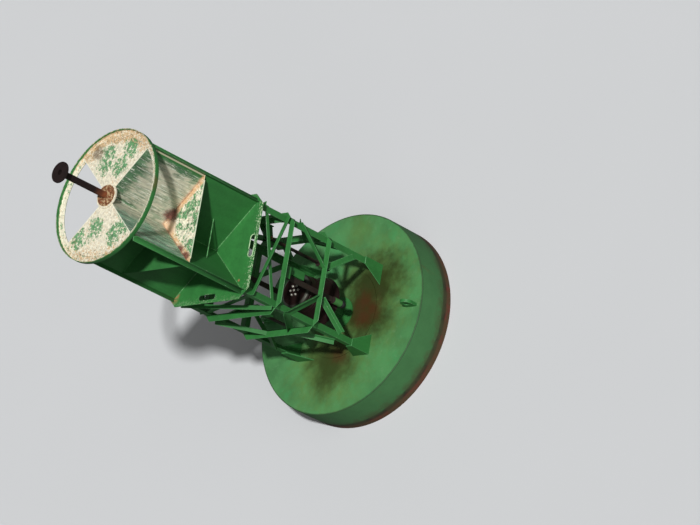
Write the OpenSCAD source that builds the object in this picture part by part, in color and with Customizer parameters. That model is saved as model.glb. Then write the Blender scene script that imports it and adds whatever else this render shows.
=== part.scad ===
// Lighted bell buoy for inshore water: steel hull with counterweight, skeleton tower,
// radar reflector, bell and four swinging clappers.
// The origin is on the vertical axis at the waterline, and +Z is up.

/* [Hull] */
// Diameter of the hull
hull_d = 2438; // [2200:1:2700]
// Height of the deck above the water
freeboard = 500; // [400:1:650]
// Height of the straight side of the hull
hull_side = 1200; // [1000:1:1400]
// Height of the coned bottom of the hull
hull_cone = 620; // [500:1:750]
// Thickness of the deck plate
deck_t = 12; // [8:1:20]
// Diameter of the doubling plate in the middle of the deck
doubler_d = 1080; // [1000:1:1180]
// Thickness of the doubling plate
doubler_t = 10; // [6:1:16]

/* [Tail] */
// Diameter of the tail tube
tail_d = 610; // [500:1:700]
// Depth of the underside of the counterweight below the water
draft = 3580; // [3400:1:3900]
// Diameter of the counterweight
weight_d = 860; // [780:1:1000]
// Height of the counterweight
weight_h = 460; // [380:1:560]

/* [Tower] */
// Width of the square tower over its legs
tower_w = 1058; // [980:1:1120]
// Width of a leg's flanges
leg_b = 75; // [65:1:90]
// Thickness of a leg's flanges
leg_t = 10; // [8:1:12]
// Height of the top of the upper horizontals above the deck
h1_z = 1585; // [1540:1:1610]
// Height of the top of the lower horizontals above the deck
h2_z = 960; // [935:1:985]
// Flange width of the horizontals
level_b = 75; // [65:1:80]
// Thickness of the horizontals
level_t = 8; // [6:1:10]
// Cut at the ends of the horizontals' standing flanges
level_cut = 57; // [45:1:65]
// Flange width of the crossed braces
brace_b = 50; // [45:1:60]
// Thickness of the crossed braces
brace_t = 6; // [5:1:8]
// Height of the crossed braces' lower ends above the upper horizontals
cross_up = 42; // [40:1:70]
// Distance of the crossed braces' upper ends below the bottom plate
cross_down = 168; // [120:1:200]
// Flange width of the fork braces on the tower's faces
fork_b = 65; // [58:1:70]
// Width of the fork braces' standing flanges
fork_stand = 50; // [45:1:60]
// Thickness of the fork braces
fork_t = 7; // [6:1:9]
// Distance of the upper fork's ends below the top of the upper horizontals
fork_down = 250; // [235:1:265]
// Height above the deck where the lower fork ends at the legs
fork_low_z = 500; // [470:1:530]
// Distance of the lower fork's ends from the outer edges of the legs
fork_low_in = 65; // [55:1:72]
// Half distance between the fork's points on a lower horizontal
node_u = 200; // [185:1:215]
// Height of the gussets at the feet
foot_h = 300; // [260:1:330]
// Width of the gussets on the deck
foot_w = 230; // [200:1:250]
// Thickness of the gussets
foot_t = 12; // [8:1:14]

/* [Radar reflector] */
// Height of the bottom plate above the deck
floor_z = 2126; // [2080:1:2180]
// Height of the middle plate above the deck
mid_z = 2971; // [2900:1:3040]
// Height of the top ring's middle above the deck
ring_z = 3843; // [3780:1:3900]
// Outer diameter of the top ring
ring_d = 1554; // [1520:1:1620]
// Diameter of the top ring's pipe
ring_pipe_d = 80; // [70:1:90]
// Thickness of the reflector plates
plate_t = 6; // [5:1:8]
// How far the bottom plate stands out from the tower's faces
floor_out = 90; // [80:1:100]
// How far the bottom plate stands out at the tower's corners
floor_corner = 35; // [25:1:45]
// Length of the hand slots
slot_l = 255; // [200:1:280]
// Width of the hand slots
slot_w = 62; // [50:1:75]
// Distance from the edge of the bottom plate to the middle of a slot
slot_in = 68; // [60:1:80]
// Radius of the top sectors
sector_r = 690; // [675:1:693]
// Diameter of the rods between the lower radial plates
rod_d = 12; // [8:1:16]
// Height of the rods above the deck
rod_z = 2458; // [2300:1:2700]
// Distance of the rods from the axis
rod_in = 230; // [180:1:300]

/* [Light post] */
// Diameter of the hub disc
hub_d = 290; // [260:1:340]
// Thickness of the hub disc and of the flanges
flange_t = 14; // [10:1:18]
// Diameter of the lower flange of the post
post_flange_d = 240; // [220:1:255]
// Diameter of the lantern flange
lantern_flange_d = 240; // [230:1:280]
// Diameter of the light post
post_d = 73; // [60:1:90]
// Wall of the light post
post_wall = 6; // [4:1:9]
// Height of the lantern flange's top above the deck
post_top_z = 4571; // [4400:1:4700]
// Pitch circle of the lantern bolts
lantern_pcd = 200; // [190:1:210]
// Diameter of the lantern bolt holes
lantern_hole_d = 14; // [11:1:16]

/* [Bell] */
// Height of the bell's crown above the deck
crown_z = 800; // [780:1:840]
// Height of the bell's mouth above the deck
mouth_z = 375; // [350:1:400]
// Diameter of the bell's mouth
mouth_d = 610; // [560:1:640]
// Diameter of the bell's crown
crown_d = 420; // [390:1:430]
// Wall of the bell
bell_wall = 26; // [20:1:32]
// Diameter of the bell stand
stand_d = 114; // [90:1:130]
// Diameter of the stand's flange under the crown
stand_flange_d = 250; // [230:1:270]

/* [Clappers] */
// Distance of the clapper pins from the tower's faces
pin_in = 124; // [117:1:130]
// Distance of the clapper pins below the top of the upper horizontals
pin_down = 165; // [160:1:185]
// Distance of a clapper from the middle of its side
clapper_u = 75; // [65:1:85]
// Diameter of the clapper pins
pin_d = 20; // [16:1:24]
// Play between a pin and its clapper, on the radius
pin_play = 0.08; // [0.04:0.01:0.1]
// Width of a clapper bar
bar_w = 60; // [55:1:75]
// Thickness of a clapper bar
bar_t = 14; // [12:1:18]
// Diameter of the weight on a clapper
clapper_d = 80; // [70:1:88]
// Height of the weight on a clapper
clapper_h = 130; // [110:1:150]
// Diameter of the striking ball
ball_d = 88; // [80:1:94]
// Height of the striking ball above the deck
ball_z = 420; // [405:1:440]
// Thickness of the bracket cheeks
cheek_t = 8; // [6:1:10]
// Width of the guide box beside a clapper
guide_w = 90; // [75:1:110]
// Depth of the guide box
guide_d = 56; // [50:1:64]
// Height of the guide box
guide_h = 280; // [240:1:300]

/* [Lugs] */
// Thickness of the lifting and mooring lugs
lug_t = 38; // [30:1:45]
// Diameter of the lug holes
lug_hole_d = 64; // [55:1:70]
// Height of the middle of a lifting lug's hole above the deck
lug_hole_z = 95; // [85:1:110]
// Distance of the lifting lugs from the axis
lift_lug_r = 1080; // [1040:1:1110]
// Distance of the mooring lugs from the axis
moor_lug_r = 900; // [820:1:960]
// Half width of a lug
lug_half = 75; // [65:1:85]

/* [Hidden] */

$fn = 96;
gap = 0.3;
paint = "#2f8a4a";
faded = "#d8d6c0";
rust = "#5a3626";
bronze = "#33261f";
below_paint = "#7a3a2c";

deck_z = freeboard;
hull_r = hull_d / 2;
tail_r = tail_d / 2;
chine_z = deck_z - hull_side;
keel_z = chine_z - hull_cone;
weight_top = weight_h - draft;
half_w = tower_w / 2;
leg_mid = half_w - leg_b / 2;
leg_top = ring_z - ring_pipe_d / 2 - gap;
ring_r = (ring_d - ring_pipe_d) / 2;
radial_r = (half_w - leg_t) * sqrt(2) - plate_t / 2 - gap;
sector_z = ring_z - plate_t / 2;
hub_z = sector_z + plate_t;
post_flange_z = hub_z + flange_t;
post_z = post_flange_z + flange_t;
eye_r = pin_d / 2 + 14;
pin_r = half_w - pin_in;
pin_z = h1_z - pin_down;
h1_low = h1_z - level_b;
h2_low = h2_z - level_b;

// Draws children at heights that are measured from the deck.
module above_deck(z = 0) {
    translate([0, 0, deck_z + z]) children();
}

// Repeats what is drawn on the -Y side on all four sides of the tower.
module each_side() {
    for (a = [0:90:270]) rotate([0, 0, a]) above_deck() children();
}

// Extrudes an outline of distance from the axis and height, with the thickness centred.
module upright_plate(t, outline) {
    translate([0, t / 2, 0]) rotate([90, 0, 0]) linear_extrude(t) polygon(outline);
}

// Hull, deck and tail
module hull_body() {
    color(paint) rotate_extrude($fn = 180)
        polygon([[0, keel_z], [tail_r, keel_z], [hull_r, chine_z], [hull_r, deck_z - deck_t],
            [0, deck_z - deck_t]]);
}

module deck_plate() {
    edge = deck_t / 2;
    color(paint) rotate_extrude($fn = 180)
        polygon([[0, deck_z - deck_t], [hull_r, deck_z - deck_t], [hull_r, deck_z - edge],
            [hull_r - edge, deck_z], [0, deck_z]]);
}

module deck_doubler() {
    color(paint) above_deck() cylinder(h = doubler_t, d = doubler_d);
}

module tail_tube() {
    color(below_paint) translate([0, 0, weight_top])
        cylinder(h = keel_z - weight_top, r = tail_r);
}

module counterweight() {
    r = weight_d / 2;
    bevel = weight_h / 8;
    color(below_paint) rotate_extrude()
        polygon([[0, -draft], [r - bevel, -draft], [r, bevel - draft], [r, weight_top - bevel],
            [r - bevel, weight_top], [0, weight_top]]);
}

module lug_hole(x, z) {
    translate([x, 0, z]) rotate([90, 0, 0]) cylinder(h = 2 * lug_t, d = lug_hole_d, center = true);
}

module lug_eye(x, z) {
    translate([x, 0, z]) rotate([90, 0, 0]) cylinder(h = lug_t, r = lug_half, center = true);
}

module lifting_lugs() {
    r = lift_lug_r;
    color(paint) for (a = [90, 270]) rotate([0, 0, a]) above_deck() difference() {
        union() {
            lug_eye(r, lug_hole_z);
            upright_plate(lug_t, [[r - lug_half, 0], [r + lug_half, 0],
                [r + lug_half, lug_hole_z], [r - lug_half, lug_hole_z]]);
        }
        lug_hole(r, lug_hole_z);
    }
}

// Height of the hull's cone at a distance from the axis.
function cone_z(r) = keel_z + (r - tail_r) * hull_cone / (hull_r - tail_r);

module mooring_lugs() {
    r = moor_lug_r;
    foot = 1.7 * lug_half;
    hole_z = cone_z(r) - 2 * lug_half;
    color(below_paint) for (a = [0, 180]) rotate([0, 0, a]) difference() {
        union() {
            lug_eye(r, hole_z);
            upright_plate(lug_t, [[r - foot, cone_z(r - foot) - gap],
                [r - lug_half, hole_z], [r + lug_half, hole_z],
                [r + foot, cone_z(r + foot) - gap]]);
        }
        lug_hole(r, hole_z);
    }
}

// Bell and its stand
module bell_stand() {
    foot_flange_d = 2 * stand_flange_d - stand_d;
    top = crown_z - bell_wall;
    color(paint) above_deck() {
        translate([0, 0, doubler_t]) cylinder(h = flange_t, d = foot_flange_d);
        translate([0, 0, doubler_t]) cylinder(h = top - doubler_t, d = stand_d);
        translate([0, 0, top - flange_t]) cylinder(h = flange_t, d = stand_flange_d);
    }
}

shoulder = 45;
bell_steps = 12;
shoulder_steps = 5;
// Outer radius of the bell at a share t of the way from shoulder to mouth.
function bell_r(t) = crown_d / 2 + (mouth_d - crown_d) / 2 * (0.3 * t + 0.7 * pow(t, 3));
function bell_z(t) = crown_z - shoulder - t * (crown_z - shoulder - mouth_z);
function shoulder_point(inset, a) = [
    crown_d / 2 - shoulder + (shoulder - inset) * cos(a),
    crown_z - shoulder + (shoulder - inset) * sin(a)];

module bell() {
    outer = [for (i = [shoulder_steps:-1:1]) shoulder_point(0, 90 * i / shoulder_steps),
        for (i = [0:bell_steps]) [bell_r(i / bell_steps), bell_z(i / bell_steps)]];
    inner = [for (i = [bell_steps:-1:0]) [bell_r(i / bell_steps) - bell_wall,
            bell_z(i / bell_steps)],
        for (i = [1:shoulder_steps]) shoulder_point(bell_wall, 90 * i / shoulder_steps)];
    color(bronze) above_deck() rotate_extrude()
        polygon(concat([[0, crown_z]], outer, inner, [[0, crown_z - bell_wall]]));
}

// Tower
module leg_outline(clear = 0) {
    out = half_w + clear;
    back = half_w - leg_t - clear;
    end = half_w - leg_b - clear;
    polygon([[out, out], [end, out], [end, back], [back, back], [back, end], [out, end]]);
}

module legs() {
    color(paint) each_side() linear_extrude(leg_top) leg_outline();
}

module foot_gusset_plate() {
    translate([0, -half_w, 0]) rotate([90, 0, 0]) linear_extrude(foot_t)
        polygon([[half_w - foot_w, 0], [half_w + foot_t, 0], [half_w + foot_t, foot_h],
            [half_w - leg_b, foot_h]]);
}

module foot_gussets() {
    color(paint) each_side() {
        foot_gusset_plate();
        rotate([0, 0, 90]) mirror([1, 0, 0]) foot_gusset_plate();
    }
}

// Section of an angle bar: one flange lies on y = 0, the other stands out at x = b / 2.
module angle_section(b, stand, t) {
    polygon([[-b / 2, 0], [b / 2, 0], [b / 2, -stand], [b / 2 - t, -stand], [b / 2 - t, -t],
        [-b / 2, -t]]);
}

// An angle bar on a face of the tower between two points, which are [across, height]. It is
// cut off level below and above, and upright at the legs, or square at its first point. Flange
// says on which side of the bar the standing flange is.
module brace(from, to, low, high, size, reach, flange = 1, inside = false, square = false) {
    run = to - from;
    tilt = atan2(run[0], run[1]);
    over = 2 * size[0];
    before = square ? 0 : over;
    y0 = inside ? leg_t - half_w : -half_w;
    intersection() {
        translate([from[0], y0, from[1]]) rotate([0, tilt, 0])
            translate([0, 0, -before]) linear_extrude(norm(run) + before + over)
                mirror([0, inside ? 1 : 0, 0]) mirror([flange < 0 ? 1 : 0, 0, 0])
                    angle_section(size[0], size[1], size[2]);
        translate([-reach, -2 * half_w, low]) cube([2 * reach, 2 * half_w, high - low]);
    }
}

// A level angle bar on one side. Its top flange stands out and is cut back at the corners.
module level_bar(top) {
    translate([0, -half_w, top]) {
        translate([-half_w, -level_t, -level_b]) cube([tower_w, level_t, level_b]);
        translate([0, 0, -level_t]) linear_extrude(level_t)
            polygon([[-half_w, 0], [half_w, 0], [half_w, -level_t],
                [half_w - level_cut, -level_b], [level_cut - half_w, -level_b],
                [-half_w, -level_t]]);
    }
}

module horizontals_low() {
    color(paint) each_side() level_bar(h2_z);
}

module horizontals_high() {
    color(paint) each_side() level_bar(h1_z);
}

module cross_brace(inside) {
    reach = inside ? half_w - leg_t - gap : half_w;
    side = inside ? 1 : -1;
    brace([-side * leg_mid, h1_z + cross_up], [side * leg_mid, floor_z - cross_down],
        h1_z + gap, floor_z - plate_t - gap, [brace_b, brace_b, brace_t], reach, 1, inside);
}

module cross_braces_outer() {
    color(paint) each_side() cross_brace(false);
}

module cross_braces_inner() {
    color(paint) each_side() cross_brace(true);
}

fork_size = [fork_b, fork_stand, fork_t];

module fork_braces_high() {
    color(paint) each_side() for (side = [-1, 1])
        brace([side * node_u, h2_z], [side * leg_mid, h1_z - fork_down], h2_z + gap,
            h1_low - gap, fork_size, half_w, -side);
}

module fork_braces_low() {
    color(paint) each_side() for (side = [-1, 1])
        brace([side * (half_w - fork_low_in), fork_low_z], [side * node_u, h2_low],
            foot_h + gap, h2_low - gap, fork_size, half_w, -side, square = true);
}

// Radar reflector
module leg_holes() {
    for (a = [0:90:270]) rotate([0, 0, a]) leg_outline(gap);
}

module hand_slot(middle) {
    half = (slot_l - slot_w) / 2;
    translate([0, -middle]) {
        square([2 * half, slot_w], center = true);
        for (x = [-half, half]) translate([x, 0]) circle(d = slot_w);
    }
}

module reflector_floor() {
    edge = half_w + floor_out;
    corner = 2 * half_w + floor_corner * sqrt(2);
    color(paint) above_deck(floor_z - plate_t) linear_extrude(plate_t) difference() {
        intersection() {
            square(2 * edge, center = true);
            rotate(45) square(corner * sqrt(2), center = true);
        }
        leg_holes();
        for (a = [0:90:270]) rotate(a) hand_slot(edge - slot_in);
    }
}

module reflector_middle() {
    color(faded) above_deck(mid_z - plate_t) linear_extrude(plate_t) difference() {
        square(tower_w, center = true);
        leg_holes();
    }
}

// One plate right across the tower and two half plates that meet it.
module radial_plates(full, halves) {
    rotate([0, 0, 45]) upright_plate(plate_t, full);
    for (a = [135, 315]) rotate([0, 0, a]) upright_plate(plate_t, halves);
}

module radial_plates_low() {
    low = floor_z;
    high = mid_z - plate_t;
    start = plate_t / 2 + gap;
    color(paint) above_deck() radial_plates(
        [[-radial_r, low], [radial_r, low], [radial_r, high], [-radial_r, high]],
        [[start, low], [radial_r, low], [radial_r, high], [start, high]]);
}

module radial_plates_high() {
    low = mid_z;
    start = plate_t / 2 + gap;
    color(faded) above_deck() radial_plates(
        [[-radial_r, low], [radial_r, low], [radial_r, leg_top], [sector_r, leg_top],
            [sector_r, sector_z], [-sector_r, sector_z], [-sector_r, leg_top],
            [-radial_r, leg_top]],
        [[start, low], [radial_r, low], [radial_r, leg_top], [sector_r, leg_top],
            [sector_r, sector_z], [start, sector_z]]);
}

// A rod on each side, mitred where it meets the two lower radial plates.
module corner_rods() {
    clear = (plate_t / 2 + gap) * sqrt(2);
    far = 2 * rod_in;
    color(paint) each_side() intersection() {
        across(rod_in, rod_z, 2 * far, rod_d / 2);
        linear_extrude(mid_z) polygon([[0, -clear], [far, -clear - far], [-far, -clear - far]]);
    }
}

module top_sectors() {
    wedge = 2 * sector_r;
    color(faded) above_deck(sector_z) for (a = [0, 180]) rotate([0, 0, a]) difference() {
        intersection() {
            cylinder(h = plate_t, r = sector_r, $fn = 180);
            linear_extrude(plate_t) polygon([[0, 0], [wedge, -wedge], [wedge, wedge]]);
        }
        translate([0, 0, -plate_t]) cylinder(h = 3 * plate_t, d = post_d / 2);
    }
}

module top_ring() {
    color(paint) above_deck(ring_z) rotate_extrude($fn = 180)
        translate([ring_r, 0]) circle(d = ring_pipe_d, $fn = 48);
}

// Light post
module hub_disc() {
    color(rust) above_deck(hub_z) cylinder(h = flange_t, d = hub_d);
}

module post_flange() {
    color(rust) above_deck(post_flange_z) cylinder(h = flange_t, d = post_flange_d);
}

module light_post() {
    length = post_top_z - flange_t - post_z;
    color(rust) above_deck(post_z) difference() {
        cylinder(h = length, d = post_d);
        translate([0, 0, -1]) cylinder(h = length + 2, d = post_d - 2 * post_wall);
    }
}

module lantern_flange() {
    color(rust) above_deck(post_top_z - flange_t) difference() {
        cylinder(h = flange_t, d = lantern_flange_d);
        translate([0, 0, -1]) cylinder(h = flange_t + 2, d = post_d - 2 * post_wall);
        for (a = [45:90:315]) rotate([0, 0, a]) translate([lantern_pcd / 2, 0, -1])
            cylinder(h = flange_t + 2, d = lantern_hole_d);
    }
}

// Clappers, which hang on the four sides of the bell, a little to one side of the middle
side_play = 1.5;
cheek_in = bar_w / 2 + 4 * side_play;
cheek_out = cheek_in + cheek_t;

module across(r, z, length, radius) {
    translate([-length / 2, -r, z]) rotate([0, 90, 0]) cylinder(h = length, r = radius);
}

module bracket_cheek() {
    back = half_w - cheek_t;
    difference() {
        union() {
            across(pin_r, pin_z, cheek_t, eye_r);
            translate([-cheek_t / 2, 0, 0]) rotate([90, 0, 90]) linear_extrude(cheek_t)
                polygon([[-back, h1_low - level_b], [-back, h1_z - level_t],
                    [eye_r - pin_r, pin_z + eye_r / 2], [eye_r / 2 - pin_r, pin_z],
                    [-pin_r, pin_z - eye_r]]);
        }
        across(pin_r, pin_z, 2 * cheek_t, pin_d / 2 + pin_play);
    }
}

// Box that keeps a clapper from swinging sideways.
module guide_box() {
    wall = cheek_t;
    low = pin_z - eye_r - guide_h;
    translate([cheek_in, -pin_r - guide_d / 2, low]) difference() {
        cube([guide_w, guide_d, guide_h - wall]);
        translate([wall, wall, -wall]) cube([guide_w - 2 * wall, guide_d - 2 * wall, guide_h]);
    }
    translate([cheek_in, -pin_r - guide_d / 2, low]) cube([wall, guide_d, guide_h + eye_r]);
}

module clapper_brackets() {
    plate_half = cheek_out + 3 * cheek_t;
    color(paint) each_side() translate([-clapper_u, 0, 0]) {
        for (side = [-1, 1]) translate([side * (cheek_in + cheek_t / 2), 0, 0]) bracket_cheek();
        difference() {
            guide_box();
            across(pin_r, pin_z, 4 * bar_w, eye_r);
        }
        translate([-plate_half, -half_w, h1_low - level_b])
            cube([2 * plate_half, cheek_t, 2 * level_b - level_t]);
    }
}

module clapper_pins() {
    head_t = 6;
    head_x = cheek_out + gap + head_t / 2;
    color(rust) each_side() translate([-clapper_u, 0, 0]) {
        across(pin_r, pin_z, 2 * (cheek_out + gap), pin_d / 2);
        for (side = [-1, 1]) translate([side * head_x, 0, 0])
            across(pin_r, pin_z, head_t, 0.8 * pin_d);
    }
}

module clapper(turn, finish = paint) {
    weight_z = ball_z + ball_d / 3;
    color(finish) rotate([0, 0, turn]) above_deck() translate([-clapper_u, 0, 0]) difference() {
        union() {
            across(pin_r, pin_z, 2 * (cheek_in - side_play), eye_r);
            translate([-bar_w / 2, -pin_r - bar_t / 2, weight_z])
                cube([bar_w, bar_t, pin_z - weight_z]);
            translate([0, -pin_r, weight_z]) cylinder(h = clapper_h, d = clapper_d);
            translate([0, -pin_r, ball_z]) sphere(d = ball_d);
        }
        across(pin_r, pin_z, 2 * bar_w, pin_d / 2 + pin_play);
    }
}

module clapper_south() { clapper(0); }
module clapper_east() { clapper(90); }
module clapper_north() { clapper(180); }
module clapper_west() { clapper(270); }

hull_body();
deck_plate();
deck_doubler();
tail_tube();
counterweight();
lifting_lugs();
mooring_lugs();
bell_stand();
bell();
legs();
foot_gussets();
horizontals_low();
horizontals_high();
cross_braces_outer();
cross_braces_inner();
fork_braces_high();
fork_braces_low();
reflector_floor();
reflector_middle();
radial_plates_low();
radial_plates_high();
corner_rods();
top_sectors();
top_ring();
hub_disc();
post_flange();
light_post();
lantern_flange();
clapper_brackets();
clapper_pins();
clapper_south();
clapper_east();
clapper_north();
clapper_west();
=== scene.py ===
"""Looks of a lighted bell buoy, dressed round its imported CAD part."""

import math

import bpy
from bpy.props import FloatProperty, FloatVectorProperty, PointerProperty
from mathutils import Matrix, Quaternion, Vector


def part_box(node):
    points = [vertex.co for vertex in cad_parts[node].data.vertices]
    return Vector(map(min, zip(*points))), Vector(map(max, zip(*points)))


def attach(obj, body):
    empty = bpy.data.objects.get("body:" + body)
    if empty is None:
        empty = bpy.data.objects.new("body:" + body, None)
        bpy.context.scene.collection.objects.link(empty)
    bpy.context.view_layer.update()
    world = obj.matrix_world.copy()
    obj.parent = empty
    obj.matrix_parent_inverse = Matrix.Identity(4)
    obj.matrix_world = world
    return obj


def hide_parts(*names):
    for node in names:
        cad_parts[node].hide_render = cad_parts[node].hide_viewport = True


bl_info = {
    "name": "Bell Buoy Dresser",
    "version": (1, 0, 0),
    "blender": (4, 5, 0),
    "location": "View3D > Sidebar > Buoy",
    "description": "Paints a bell buoy and adds its nuts, rims, beads and welds",
    "category": "Object",
}

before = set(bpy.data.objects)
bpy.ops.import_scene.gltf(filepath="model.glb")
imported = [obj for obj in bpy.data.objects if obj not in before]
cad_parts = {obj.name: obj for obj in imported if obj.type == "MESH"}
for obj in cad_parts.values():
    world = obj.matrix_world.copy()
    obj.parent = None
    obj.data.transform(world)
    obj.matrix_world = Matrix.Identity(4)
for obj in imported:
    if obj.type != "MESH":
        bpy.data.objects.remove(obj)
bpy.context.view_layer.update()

HULL_R, _, DECK_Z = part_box("deck_plate")[1]
LEG_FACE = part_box("legs")[1].x
FLOOR_HALF, _, FLOOR_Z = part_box("reflector_floor")[1]
MID_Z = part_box("reflector_middle")[1].z
SHELF_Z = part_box("top_sectors")[0].z
SECTOR_R, _, SECTOR_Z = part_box("top_sectors")[1]
FLANGE_R, _, FLANGE_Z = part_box("post_flange")[1]
MOUTH_Z, CROWN_Z = (corner.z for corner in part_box("bell"))
QUARTERS = [math.radians(turn) for turn in (0, 90, 180, 270)]


def paint_colour(red, green, blue):
    """A colour of 0 to 255 as the eye sees it, turned into the light that it reflects."""
    shares = (c / 255 for c in (red, green, blue))
    return tuple(c / 12.92 if c <= 0.04045 else ((c + 0.055) / 1.055) ** 2.4 for c in shares)


# Settings that a user would change

def kind(make, **fixed):
    """A kind of setting, to be given its name, its default, what it sets and its limits."""
    return lambda name, default, description, **limits: make(
        name=name, default=default, description=description, **fixed, **limits)


Length = kind(FloatProperty, subtype="DISTANCE", unit="LENGTH")
Angle = kind(FloatProperty, subtype="ANGLE")
Focal = kind(FloatProperty, unit="CAMERA")
Strength = kind(FloatProperty, min=0)
Colour = kind(FloatVectorProperty, subtype="COLOR")
Direction = kind(FloatVectorProperty, subtype="DIRECTION")
Place = kind(FloatVectorProperty, subtype="XYZ", unit="LENGTH")


class StageSettings(bpy.types.PropertyGroup):
    """Floor, lights and camera."""

    azimuth: Angle("Azimuth", math.radians(-25.52), "Direction of the camera round the buoy")
    elevation: Angle("Elevation", math.radians(42.91), "Angle of the camera above the deck")
    roll: Angle("Roll", math.radians(62.51), "Turn of the camera that lays the buoy on its side")
    distance: Length("Distance", 40.92, "Distance of the camera from its aim")
    aim: Place("Aim", (0.567, -0.1369, 0.6284), "Point at the middle of the picture")
    lens: Focal("Lens", 183.4, "Focal length on a 36 mm sensor")
    sun_from: Direction("Key light from", (-0.13, -0.52, 0.84),
                        "Direction that the key light comes from")
    sun_strength: Strength("Key light", 3.3, "Strength of the key light")
    sun_softness: Angle("Key light softness", math.radians(3), "Angular size of the key light")
    front_from: Direction("Front light from", (-0.30, -0.66, 0.69),
                          "Direction that the wide front light comes from")
    front_strength: Strength("Front light", 0.45, "Strength of the wide front light")
    front_softness: Angle("Front light softness", math.radians(70),
                          "Angular size of the wide front light")
    fill_strength: Strength("Fill light", 0.13, "Strength of the light from all round")
    floor_half: Length("Floor half width", 90, "Half the width of the floor")
    floor_colour: Colour("Floor", (0.56, 0.57, 0.58), "Colour of the floor")


class PaintSettings(bpy.types.PropertyGroup):
    """Colours of the paint, rust and bronze."""

    green: Colour("Green paint", (0.028, 0.165, 0.036), "Colour of the sound paint")
    worn_green: Colour("Worn green paint", (0.062, 0.205, 0.068),
                       "Colour of the paint on the deck")
    bleached: Colour("Bleached paint", (0.74, 0.69, 0.53),
                     "Colour of the paint that the sun has bleached")
    bottom: Colour("Bottom paint", (0.17, 0.035, 0.025), "Colour of the paint below the water")
    rust: Colour("Rust", (0.16, 0.045, 0.014), "Colour of rust stains")
    bronze: Colour("Bell bronze", (0.020, 0.009, 0.008), "Colour of the bell")
    paint_line: Length("Paint line", 0.10, "Height of the line between the green and bottom paint")


class TrimSettings(bpy.types.PropertyGroup):
    """Sizes of the small pieces, and of the bars that are shaped here."""

    edge_round: Length("Edge rounding", 0.003,
                       "Rounding of the bars' and plates' edges", min=0.0005, max=0.01)
    ring_out: Length("Ring radius", 0.745, "Mean outer radius of the top ring", min=0.7, max=0.78)
    ring_oval: Length("Ring oval", 0.030, "How far the bent ring is from round", min=0, max=0.05)
    ring_shelf: Length("Ring shelf", 0.080, "Width of the ring's flat flange", min=0.05, max=0.1)
    ring_wall: Length("Ring wall", 0.056,
                      "Height of the ring's upright flange", min=0.03, max=0.08)
    ring_thick: Length("Ring thickness", 0.008,
                       "Thickness of the ring's flanges", min=0.004, max=0.012)
    angle_size: Length("Upper angles", 0.050,
                       "Width of the flanges of the upper legs", min=0.03, max=0.07)
    angle_thick: Length("Upper angle thickness", 0.006,
                        "Thickness of the upper legs' flanges", min=0.004, max=0.01)
    nut_size: Length("Nut size", 0.015, "Radius of a nut over its corners", min=0.005, max=0.03)
    bead_size: Length("Bead size", 0.006,
                      "Radius of the beads round the bell", min=0.002, max=0.02)
    rim_size: Length("Rim size", 0.006, "Radius of the rod round a hand slot", min=0.002, max=0.02)
    weld_size: Length("Weld size", 0.006, "Radius of the weld beads", min=0.002, max=0.02)


GROUPS = {"buoy_stage": StageSettings, "buoy_paint": PaintSettings, "buoy_trim": TrimSettings}


def settings(context):
    """The scene's settings: stage, paint and trim."""
    return [getattr(context.scene, name) for name in GROUPS]


# Materials

class Value:
    """A number or colour inside a material, which can stand in a Python expression."""

    def __init__(self, finish, socket):
        self.finish = finish
        self.socket = socket

    def math(self, kind, first, second=0.0):
        return self.finish.node("ShaderNodeMath", {"operation": kind}, {0: first, 1: second})

    def __add__(self, other):
        return self.math("ADD", self, other)

    __radd__ = __add__

    def __mul__(self, other):
        return self.math("MULTIPLY", self, other)

    __rmul__ = __mul__

    def __sub__(self, other):
        return self.math("SUBTRACT", self, other)

    def __rsub__(self, other):
        return self.math("SUBTRACT", other, self)

    def __truediv__(self, other):
        return self.math("DIVIDE", self, other)

    def __neg__(self):
        return self.math("MULTIPLY", self, -1.0)

    def __abs__(self):
        return self.math("ABSOLUTE", self)

    def over(self, other):
        """The larger of the two."""
        return self.math("MAXIMUM", self, other)

    def ease(self, low, high):
        """A soft step from 0 where the value is low to 1 where it is high."""
        return self.finish.node("ShaderNodeMapRange", {"interpolation_type": "SMOOTHSTEP"}, {
            "Value": self, "From Min": low, "From Max": high, "To Min": 0.0, "To Max": 1.0})

    def tint(self, share, red, green, blue):
        """This colour with another, of 0 to 255 as the eye sees it, laid over it."""
        return self.finish.mix(share, self, paint_colour(red, green, blue))


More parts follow.
